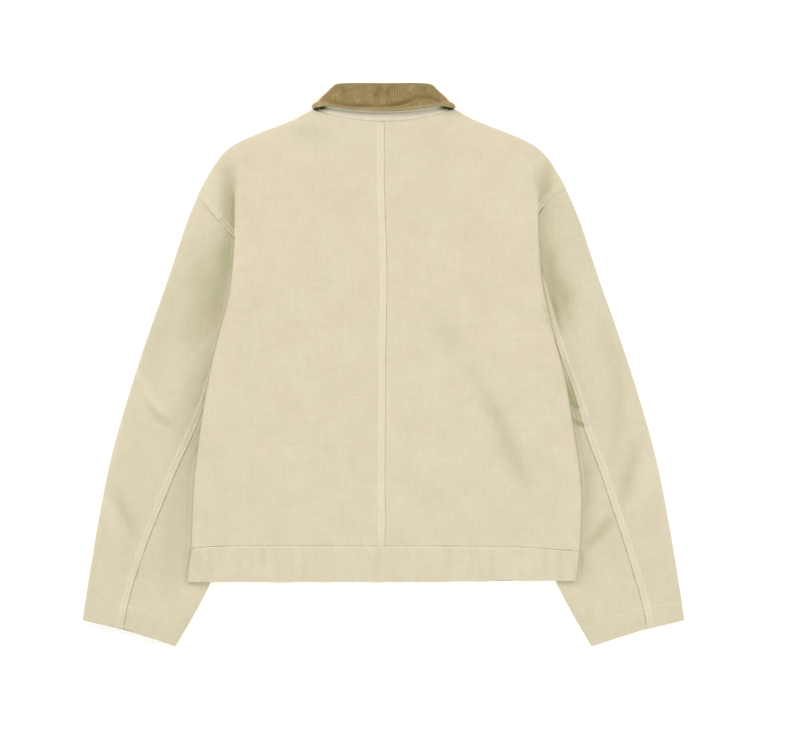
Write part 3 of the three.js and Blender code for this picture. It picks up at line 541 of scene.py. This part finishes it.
def back_tone(places):
    """Pale rubbed seams; painted shade in the creases beside the shoulder caps, in the folds and in a thin
    line beside the centre seam; painted highlights on ridges and along the body's edge.
    """
    x, y, _ = places.T
    side = "left" if x.mean() < 0 else "right"
    tone = strokes(x, y, BACK_PAINTED_SHADING) - painted_valley_shade(x, y, side)
    # The armhole strip is rubbed wear; the thin strip along the body's edge is a painted highlight on its
    # fold.
    tone += edge_tone(x, y, ARMHOLES[side], 6.4, 0.04) + edge_tone(x, y, BODY_EDGES[side], 2, 0.2)
    if side == "left":
        rows = sum(edge_tone(x, y, offset_line(CENTRE_SEAM, -d), 0.4, 0.25) for d in FELLED_ROWS)
        return tone + edge_tone(x, y, CENTRE_SEAM, FELL, 0.36) + rows
    # A thin painted shade line where the left panel laps over the right.
    return tone - edge_tone(x, y, CENTRE_SEAM, 1.2, 0.1)


def settle_shoulder(places, normals):
    """Where a back panel's height evens out."""
    x, y, _ = places.T
    top = smooth_step((y - 0.258) / 0.02) * smooth_step((0.352 - y) / 0.012)
    return (0.35 + 0.65 * top) * smooth_step((normals[:, 2] ** 2 - 0.6) / 0.3)


for node in ("back_left", "back_right"):
    cloth_from(
        node,
        3,
        back_shape,
        tone=back_tone,
        settle=settle_shoulder,
    )

# Fronts
# Two panels of the same canvas underneath, lapping left over right at the middle. The jacket's weight
# presses them flat on the table.


def front_shape(places, normals):
    """Slight hollows on a flat front, in millimetres."""
    x, y, z = places.T
    free = smooth_step((z / MM - 2.2) / 2) * faces_up_or_down(normals)
    return up(-0.1 * np.abs(ripple(x, y, 31, 40)) * free)


for node in ("front_left", "front_right"):
    cloth_from(node, 2, front_shape)

# Sleeves
# Two pieces each, felled down the back of the arm and hemmed at the cuff. They lie half under the
# body, and buckle where the elbow was bent.
ARM_SEAMS = {
    "left": curve(
        (
            *((-190, 178), (-205, 90), (-222, 28), (-243, -42), (-265.5, -97), (-288, -146)),
            *((-305, -188), (-324.5, -236), (-342, -285), (-356, -334), (-362, -366)),
        ),
        160,
    ),
    "right": curve(
        (
            *((196, 178), (222, 90), (240.5, 28), (266, -42), (282, -97), (301, -146)),
            *((315, -188), (331, -236), (346.5, -285), (361, -334), (366, -366)),
        ),
        160,
    ),
}
CUFFS = {
    "left": curve(((-418.3, -355.2), (-389, -366.4), (-362, -372.5), (-330, -382), (-289, -391.1)), 60),
    "right": curve(((418.3, -355.2), (389, -366.4), (366, -372.5), (330, -382), (289, -391.1)), 60),
}
ARM_FOLDS = (
    (((-346, -14), (-322, -68), (-292, -92)), -1.8, 5),
    (((-330, -4), (-306, -56), (-284, -76)), 0.9, 8),
    (((-388, -168), (-366, -204), (-346, -250)), -1.7, 7),
    (((-402, -200), (-386, -240), (-372, -290)), -0.9, 8),
    (((308, 66), (337, -48), (320, -172)), -2.0, 9),
    (((330, 70), (360, -40), (344, -150)), 0.9, 14),
    (((316, -196), (300, -220), (276, -246)), -1.2, 8),
    (((322, -210), (340, -160), (352, -104)), -1.2, 10),
    (((262, -60), (272, -72), (290, -80)), -1.8, 4),
    (((236, 78), (246, 70), (254, 56)), -0.9, 2.6),
    (((240, 62), (248, 50), (254, 32)), -0.8, 2.6),
    (((254, -46), (266, -56), (280, -58)), -1.2, 3.5),
    (((268, -140), (278, -150), (292, -152)), -1.0, 4),
    (((262, -74), (276, -84), (292, -86)), -1.2, 4),
    (((-300, 130), (-310, 60), (-330, 0)), 1.0, 16),
    (((-282, 130), (-290, 70), (-300, 10)), -1.0, 12),
    (((-400, -250), (-380, -300), (-372, -350)), -0.8, 12),
    (((392, -240), (384, -290), (392, -340)), -0.8, 12),
    (((300, 20), (290, -10), (286, -50)), -1.2, 7),
    (((286, 150), (290, 110), (310, 60)), -1.0, 10),
    (((250, 150), (246, 120), (252, 80)), -1.0, 8),
    (((252, 96), (250, 78), (262, 58)), -1.3, 4),
    (((-244, 170), (-240, 130), (-246, 90)), -1.0, 8),
    (((-300, -240), (-290, -290), (-306, -350)), -1.0, 10),
    (((300, -250), (312, -300), (322, -350)), -0.9, 10),
)
# Painted shade in folds and creases, painted highlights on ridges where the tone is above 0, and a painted
# shadow in the gap under the left cuff's seam.
ARM_PAINTED_SHADING = (
    (((-222, 184), (-224, 130), (-240, 50)), -0.4, 14),
    (((-250, 170), (-252, 90), (-268, 0)), -0.35, 20),
    (((-292, 170), (-310, 80), (-350, -60)), -0.15, 26),
    (((234, 170), (236, 110), (246, 56)), -0.45, 11),
    (((262, 140), (256, 90), (264, 40)), -0.2, 14),
    (((300, 80), (328, -40), (316, -150)), -0.15, 12),
    (((250, 16), (258, -30), (268, -90)), -0.45, 8),
    (((241, 124), (250, 104), (258, 80)), -0.22, 8),
    (((232, 100), (239, 74), (247, 34)), -0.4, 4.5),
    (((254, -48), (264, -56), (276, -58)), -0.8, 2.6),
    (((258, -70), (268, -80), (284, -84)), -0.9, 2.8),
    (((266, -140), (276, -150), (290, -152)), -0.25, 3),
    (((278, -254), (298, -236), (320, -206)), -0.38, 8),
    (((322, -208), (340, -160), (352, -100)), -0.25, 12),
    (((352, -200), (366, -150), (372, -100)), 0.2, 12),
    (((272, -110), (282, -160), (280, -230)), -0.1, 12),
    (((-378, -160), (-356, -210), (-340, -250)), -0.2, 10),
    (((-330, -30), (-318, -66), (-292, -84)), -0.2, 6),
    (((-346, 0), (-324, -44), (-300, -70)), 0.3, 6),
    (((-398, -176), (-380, -214), (-366, -250)), 0.2, 7),
    (((-280, -130), (-296, -230), (-300, -340)), -0.12, 16),
    (((-367, -368), (-358, -371), (-349, -373)), -1.8, 2.4),
    (((372, 20), (392, -120), (404, -260)), 0.2, 14),
    (((-340, 40), (-376, -80), (-396, -220)), 0.15, 12),
)


def arm_shape(places, normals):
    """Folds, puckers and lapped seams of the sleeves, in millimetres."""
    x, y, z = places.T
    side = "left" if x.mean() < 0 else "right"
    sign = 1 if side == "left" else -1
    height = 0.5 * ripple(x, y, 13, 80) + 0.2 * ripple(x, y, 14, 26) + strokes(x, y, ARM_FOLDS)
    height += 0.5 * stretch(x, y, ARM_SEAMS[side], 15, 14, 24)
    height += 0.4 * stretch(x, y, ARMHOLES[side], 16, 10, 14)
    height += 0.5 * stretch(x, y, CUFFS[side], 17, 22, 26)
    free = smooth_step((z / MM - 3.4) / 3.5) * faces_up_or_down(normals)
    moves = up(height * free)
    if z.min() < 1 * MM:
        moves[:, :2] += lapped(x, y, ARM_SEAMS[side], 0.25 * sign, 4)
    return moves


def arm_tone(places):
    """Pale rubbed seams and cuff; painted shade in the folds, in the crease by the body and beside the
    felled strip, and painted highlights on ridges.
    """
    x, y, z = places.T
    side = "left" if x.mean() < 0 else "right"
    upper = smooth_step((z / MM - 3) / 1.5)
    # The whole sleeve is pulled 0.05 toward the painted shade colour: painted shade.
    tone = strokes(x, y, ARM_PAINTED_SHADING) - painted_valley_shade(x, y, side) - 0.05
    if z.min() < 1 * MM:
        sign, rubbed = (1, 0.12) if side == "left" else (-1, 0.24)
        rows = sum(edge_tone(x, y, offset_line(ARM_SEAMS[side], -sign * d), 0.4, 0.2) for d in FELLED_ROWS)
        tone += edge_tone(x, y, ARM_SEAMS[side], FELL, rubbed) + rows
    else:
        # A thin painted shade line where the felled strip laps over this piece.
        tone -= edge_tone(x, y, ARM_SEAMS[side], 1.6, 0.35)
    return tone * upper + edge_tone(x, y, CUFFS[side], 2, 0.3)


for side in ("left", "right"):
    cloth_from(f"sleeve_{side}_outer", 3, arm_shape, tone=arm_tone)
    cloth_from(f"sleeve_{side}_inner", 3, arm_shape, tone=arm_tone)

# Waistband
# A strip of the same canvas folded double and sewn over the edge of the body. It puckers a little along
# its seam, and its lower edge wavers.
HEM = curve(((-273, -301.4), (-200, -301.6), (-100, -302), (0, -301.8), (120, -301), (267.6, -300)), 100)
BAND_FOLDS = (
    (((-262, -262), (-258, -276), (-260, -296)), -0.8, 4),
    (((-246, -258), (-240, -272), (-244, -290)), -0.6, 4),
    (((-206, -256), (-202, -268), (-208, -284)), -0.4, 5),
    (((250, -262), (254, -276), (250, -292)), -0.6, 5),
)


def band_shape(places, normals):
    """Puckers of the waistband and the waver of its lower edge, in millimetres."""
    x, y, _ = places.T
    height = 0.3 * ripple(x, y, 21, 60) + strokes(x, y, BAND_FOLDS)
    height += 0.7 * stretch(x, y, WAIST_SEAM, 22, 20, 13) + 0.5 * stretch(x, y, HEM, 23, 16, 16)
    moves = up(np.maximum(height, -0.5) * faces_up_or_down(normals))
    gap, _, _ = near_line(x, y, HEM, 20 * MM)
    moves[:, 1] += 0.7 * ripple(x, y * 0, 24, 60) * np.exp(-((gap / (8 * MM)) ** 2))
    moves[:, :2] += lapped(x, y, WAIST_SEAM, 0.1)
    return moves


def band_tone(places):
    """The band is rubbed pale along both edges."""
    x, y, _ = places.T
    rubbed = edge_tone(x, y, HEM, 2, 0.3) + edge_tone(x, y, WAIST_SEAM, 2.6, 0.4)
    return rubbed + 0.1 * ripple(x, y * 0.15, 25, 14)


FRONT_BANDS = ["waistband_front_left", "waistband_front_right"]
cloth_from("waistband_back", 3, band_shape, tone=band_tone)
for node in FRONT_BANDS:
    cloth_from(node, 2, front_shape)

# Collar
# A corduroy leaf rolled down over a lighter canvas under-collar, with a canvas neckband inside.
# The wales run up and down the leaf. They are 1.5 mm apart and drawn 2.3 mm apart, so they show.
COLLAR_RING = curve(
    [
        *((-x, y) for x, y in ((8, 275), (40, 290), (72, 313), (94, 335), (100, 356), (92, 366))),
        *((x, 372 - abs(x) / 12) for x in (-66, -33, 0, 33, 66)),
        *((92, 366), (100, 356), (94, 335), (72, 313), (40, 290), (8, 275)),
    ],
    240,
)
WALE = 2.3 * MM


def cotton_corduroy():
    """Brushed ribs of pile, tan on top and darker between them, partly from thinner pile and partly as
    painted shade in the grooves; rubbed pale spots, and painted shade from the tone attribute.
    """
    material = bpy.data.materials.new("cotton_corduroy")
    material.use_nodes = True
    tree = material.node_tree
    cloth = tree.nodes["Principled BSDF"]
    cloth.inputs["Roughness"].default_value = 0.95
    cloth.inputs["Specular IOR Level"].default_value = 0.2
    cloth.inputs["Sheen Weight"].default_value = 0.35
    cloth.inputs["Sheen Roughness"].default_value = 0.5
    cloth.inputs["Sheen Tint"].default_value = linear("#E8D6AE")
    place = add_node(tree, "ShaderNodeTexCoord").outputs["Object"]
    length = add_node(tree, "ShaderNodeAttribute", {"attribute_name": "ring"}).outputs["Fac"]
    pile = add_node(tree, "ShaderNodeTexNoise", {"Scale": 700.0, "Detail": 3.0}, {"Vector": place})
    parts = add_node(tree, "ShaderNodeSeparateXYZ", links={"Vector": place})
    ribs_at = add_node(tree, "ShaderNodeCombineXYZ", links={"X": length, "Y": parts.outputs["Y"]})
    ribbed = {"bands_direction": "X", "Scale": math.pi / (10 * WALE), "Distortion": 4.5, "Detail": 2.0}
    ribs = add_node(
        tree,
        "ShaderNodeTexWave",
        {**ribbed, "Detail Scale": 1.2},
        {"Vector": ribs_at.outputs["Vector"]},
    )
    # The darker grooves between the ribs are partly thinner pile and partly painted shade.
    tones = add_node(tree, "ShaderNodeValToRGB", links={"Fac": ribs.outputs["Fac"]})
    tones.color_ramp.elements[0].color = linear("#7F6C46")
    tones.color_ramp.elements[1].color = linear("#AD976C")
    spotty = {"Scale": 60.0, "Detail": 5.0, "Roughness": 0.7}
    wear = add_node(tree, "ShaderNodeTexNoise", spotty, {"Vector": place})
    amount = add_node(
        tree,
        "ShaderNodeMapRange",
        {"From Min": 0.5, "From Max": 0.7, "To Min": 0.0, "To Max": 0.5},
        {"Value": wear.outputs["Fac"]},
    )
    mottled = {"Scale": 95.0, "Detail": 4.0, "Roughness": 0.65}
    blotches = add_node(tree, "ShaderNodeTexNoise", mottled, {"Vector": place})
    olive = add_node(
        tree,
        "ShaderNodeMapRange",
        {"From Min": 0.5, "From Max": 0.72, "To Min": 0.0, "To Max": 0.7},
        {"Value": blotches.outputs["Fac"]},
    )
    painted = add_node(tree, "ShaderNodeAttribute", {"attribute_name": "tone"}).outputs["Fac"]
    shade = tones.outputs["Color"]
    rubbed = add_node(
        tree,
        "ShaderNodeMath",
        {"operation": "ADD", "use_clamp": True},
        {0: amount.outputs[0], 1: painted},
    )
    # Tone below 0 mixes toward dark brown: painted shade in the pinches, along the stitched line and at the
    # roll.
    deep = add_node(
        tree,
        "ShaderNodeMapRange",
        {"From Min": 0.0, "From Max": -1.0, "To Min": 0.0, "To Max": 1.0},
        {"Value": painted},
    )
    for factor, other in (
        (olive.outputs[0], "#857447"),
        (rubbed.outputs[0], "#C3B28A"),
        (deep.outputs[0], "#66532F"),
    ):
        blend = add_node(tree, "ShaderNodeMix", {"data_type": "RGBA"}, {"Factor": factor})
        tree.links.new(shade, blend.inputs[6])
        blend.inputs[7].default_value = linear(other)
        shade = blend.outputs[2]
    tree.links.new(shade, cloth.inputs["Base Color"])
    both = add_node(
        tree,
        "ShaderNodeMath",
        {"operation": "MULTIPLY_ADD"},
        {0: pile.outputs["Fac"], 1: ribs.outputs["Fac"], 2: ribs.outputs["Fac"]},
    )
    relief = add_node(
        tree,
        "ShaderNodeBump",
        {"Strength": 0.6, "Distance": 0.4 * MM},
        {"Height": both.outputs[0]},
    )
    tree.links.new(relief.outputs["Normal"], cloth.inputs["Normal"])
    return material


LEAF_EDGE = curve(((-94, 359), (-60, 352), (-30, 349), (0, 348), (30, 349), (60, 352), (94, 359)), 90)
LEAF_STITCH = curve(
    ((-78, 362), (-60, 358.5), (-26, 357), (4, 357), (28, 360), (50, 367), (66, 367), (90, 359)),
    90,
)
COLLAR_FOLDS = (
    (((-8, 391), (-8, 381), (-12, 371)), -1.6, 2.2),
    (((10, 391), (8, 382), (5, 373)), -1.4, 2.0),
    (((-76, 365), (-44, 360), (-6, 360)), -1.0, 2.6),
    (((-4, 359), (24, 363), (46, 371)), -1.2, 2.6),
    (((40, 371), (60, 372), (80, 366)), -0.9, 2.6),
    (((-60, 384), (-54, 378), (-56, 372)), -0.6, 4),
    (((50, 388), (56, 382), (52, 376)), -0.6, 4),
)


def collar_shape(places, normals):
    """Rolls and pinches of the corduroy leaf, in millimetres."""
    x, y, z = places.T
    top = smooth_step((z / MM - 15) / 3) * faces_up_or_down(normals)
    return up((0.3 * ripple(x, y, 41, 34) + strokes(x, y, COLLAR_FOLDS)) * top)


def collar_tone(places):
    """Paler below the stitched line and at the ends; painted shade in the pinches, along the stitched line,
    and where the leaf rolls over at its top.
    """
    x, y, z = places.T
    low = edge_tone(x, y, LEAF_EDGE, 9, 0.3) + 0.35 * smooth_step((np.abs(x) / MM - 82) / 16)
    pinch_painted_shade = np.abs(strokes(x, y, COLLAR_FOLDS)) + edge_tone(x, y, LEAF_STITCH, 1.2, 0.7)
    roll_painted_shade = 0.7 * smooth_step((y - y.max()) / (2.5 * MM) + 1)
    return (low - 0.6 * pinch_painted_shade) * smooth_step((z / MM - 14) / 3) - roll_painted_shade


leaf = cloth_from(
    "collar_top",
    2,
    collar_shape,
    tone=collar_tone,
    finish=cotton_corduroy(),
)
points = read_points(leaf.data)
_, share, _ = near_line(points[:, 0], points[:, 1], COLLAR_RING)
ring = leaf.data.attributes.new("ring", "FLOAT", "POINT")
ring.data.foreach_set("value", share * np.hypot(*np.diff(COLLAR_RING, axis=0).T).sum())

# The under-collar and neckband are a lighter, paler canvas. Its near-black shadow colour is for painted
# shadow in the gaps under the collar's ends and under the leaf's edge.
lining = cotton_canvas("lighter_collar_canvas", "#E0D9C6", "#E6DFCE", "#D8D1BC", "#2E2F18", "#ECE6D6")
LINING_PAINTED_SHADE = (
    (((-14, 357), (-9, 355), (-4, 357)), -0.2, 2.5),
    (((29, 358), (34, 357), (39, 358)), -0.2, 2.5),
    (((-108, 349), (-96, 355), (-76, 359)), -1.2, 4.4),
    (((108, 349), (97, 355), (76, 360)), -1.2, 4.4),
)


def lining_shape(places, normals):
    """Small waves along the under-collar's free edge, in millimetres."""
    x, y, _ = places.T
    return up(0.3 * stretch(x, y, LEAF_EDGE, 43, 5, 16) * faces_up_or_down(normals))


def lining_tone(places):
    """Painted shade in small dimples where the collar's stitches pull, and painted shadow in the gaps under
    the collar's ends and along the leaf's edge.
    """
    x, y, _ = places.T
    return strokes(x, y, LINING_PAINTED_SHADE) - edge_tone(x, y, LEAF_EDGE, 2.4, 0.16)


for node, flat, rests_on in (
    ("collar_under", (0.38, 0.046), ["neckband"]),
    ("neckband", (0.36, 0.038), ["back_left", "back_right"]),
):
    cloth_from(node, 2, lining_shape, tone=lining_tone, finish=lining)

# Stitching
# Cream cotton thread, a little paler than the cloth. Each stitch is a short length of thread that
# bends down into the cloth at both ends. Two rows hold each felled seam and one row each hem.
THREAD_RADIUS = 0.42 * MM
STITCH = 3.4 * MM


def surface_of():
    """The dressed cloth as one search tree, and the piece that each of its faces belongs to."""
    corners, faces, owners = [], [], []
    for piece in bpy.data.objects:
        if piece.name.startswith("cloth_"):
            base = len(corners)
            corners.extend(v.co.copy() for v in piece.data.vertices)
            faces.extend([base + k for k in face.vertices] for face in piece.data.polygons)
            owners.extend([piece.name] * len(piece.data.polygons))
    return BVHTree.FromPolygons(corners, faces), owners


dressed, owners = surface_of()


def cotton_thread(name, colour):
    """Matt spun cotton thread of one colour."""
    material = bpy.data.materials.new(name)
    material.use_nodes = True
    spun = material.node_tree.nodes["Principled BSDF"]
    spun.inputs["Base Color"].default_value = linear(colour)
    spun.inputs["Roughness"].default_value = 0.7
    return material


cream_thread = cotton_thread("cream_cotton_thread", "#F6EEDF")
tan_thread = cotton_thread("tan_cotton_thread", "#D2C096")


def sew(name, rows, cloth, thread=cream_thread, below=False):
    """Rows of stitches along lines, laid from above or below where the cloth named is outermost."""
    work = bmesh.new()
    dice = np.random.default_rng(len(name))
    sign = -1 if below else 1
    for line in rows:
        steps_along = np.concatenate([[0], np.cumsum(np.hypot(*np.diff(line, axis=0).T))])
        for start in np.arange(0.3 * STITCH, steps_along[-1] - STITCH, STITCH):
            near, far = start + dice.uniform(0, 0.1) * STITCH, start + 0.82 * STITCH
            ends = [[np.interp(d, steps_along, line[:, k]) for k in (0, 1)] for d in (near, far)]
            found = [dressed.ray_cast(Vector((*end, 0.2 * sign)), Vector((0, 0, -sign))) for end in ends]
            if any(face is None or not owners[face].startswith(cloth) for _, _, face, _ in found):
                continue
            hits = [place for place, _, _, _ in found]
            if abs(hits[0].z - hits[1].z) > 2 * MM:
                continue
            way = (hits[1] - hits[0]).normalized()
            across = way.cross(Vector((0, 0, sign))).normalized()
            out = across.cross(way).normalized()
            rings = []
            for share, lift, wide in ((0, -0.9, 0.6), (0.25, 0.25, 1), (0.75, 0.25, 1), (1, -0.9, 0.6)):
                centre = hits[0].lerp(hits[1], share) + out * lift * THREAD_RADIUS
                ring = []
                for k in range(6):
                    turn = k * math.pi / 3
                    spoke = across * math.cos(turn) + out * math.sin(turn)
                    ring.append(work.verts.new(centre + spoke * THREAD_RADIUS * wide))
                rings.append(ring)
            for a, b in zip(rings, rings[1:]):
                for k in range(6):
                    work.faces.new((a[k], b[k], b[(k + 1) % 6], a[(k + 1) % 6]))
            work.faces.new(rings[0])
            work.faces.new(rings[-1][::-1])
    bmesh.ops.recalc_face_normals(work, faces=work.faces)
    mesh = bpy.data.meshes.new(name)
    work.to_mesh(mesh)
    work.free()
    mesh.materials.append(thread)
    mesh.shade_smooth()
    piece = bpy.data.objects.new(name, mesh)
    bpy.context.scene.collection.objects.link(piece)
    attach(piece, "root")


CUFF_ROWS = {
    "left": curve(
        ((-411, -333), (-382, -334), (-356, -336), (-330, -343.5), (-300, -356.5), (-277, -367)),
        60,
    ),
    "right": curve(
        ((411, -333), (384, -334.5), (360, -338), (330, -346.5), (300, -358.5), (277, -368)),
        60,
    ),
}
sew("stitches_centre_seam", [offset_line(CENTRE_SEAM, -d) for d in FELLED_ROWS], "cloth_back_left")
sew("stitches_waistband", [offset_line(WAIST_SEAM, -2)], "cloth_waistband_back")
sew("stitches_neckband", [offset_line(NECK_SEAM, 2)], "cloth_neckband")
sew("stitches_collar", [LEAF_STITCH], "cloth_collar_top", tan_thread)
for side, sign in (("left", 1), ("right", -1)):
    rows = [offset_line(ARM_SEAMS[side], -sign * d) for d in FELLED_ROWS]
    sew(f"stitches_sleeve_seam_{side}", rows, f"cloth_sleeve_{side}")
    rows = [offset_line(ARMHOLES[side], sign * d) for d in (1.5, 6.4)]
    sew(f"stitches_armhole_{side}", rows, f"cloth_back_{side}")
    sew(f"stitches_cuff_{side}", [CUFF_ROWS[side]], f"cloth_sleeve_{side}")
    sew(f"stitches_cuff_under_{side}", [CUFF_ROWS[side]], f"cloth_sleeve_{side}", below=True)

# Rows on the hidden side, laid from below.
FRONT_ARMHOLES = {
    "left": curve(((-256, 236), (-219, 192), (-196, 160), (-176, 136)), 40),
    "right": curve(((252, 246), (212, 210), (193, 166), (176, 136)), 40),
}
for side, sign in (("left", 1), ("right", -1)):
    rows = [offset_line(FRONT_ARMHOLES[side], sign * d) for d in (3, 8)]
    sew(f"stitches_front_armhole_{side}", rows, f"cloth_front_{side}", below=True)
sew("stitches_front_band", [offset_line(WAIST_SEAM, -2)], "cloth_waistband_front", below=True)
opening = [np.array(((x, 262), (x, -298))) * MM for x in (11.5, 5)]
sew("stitches_front_opening", opening, ("cloth_front_left", "cloth_waistband_front_left"), below=True)
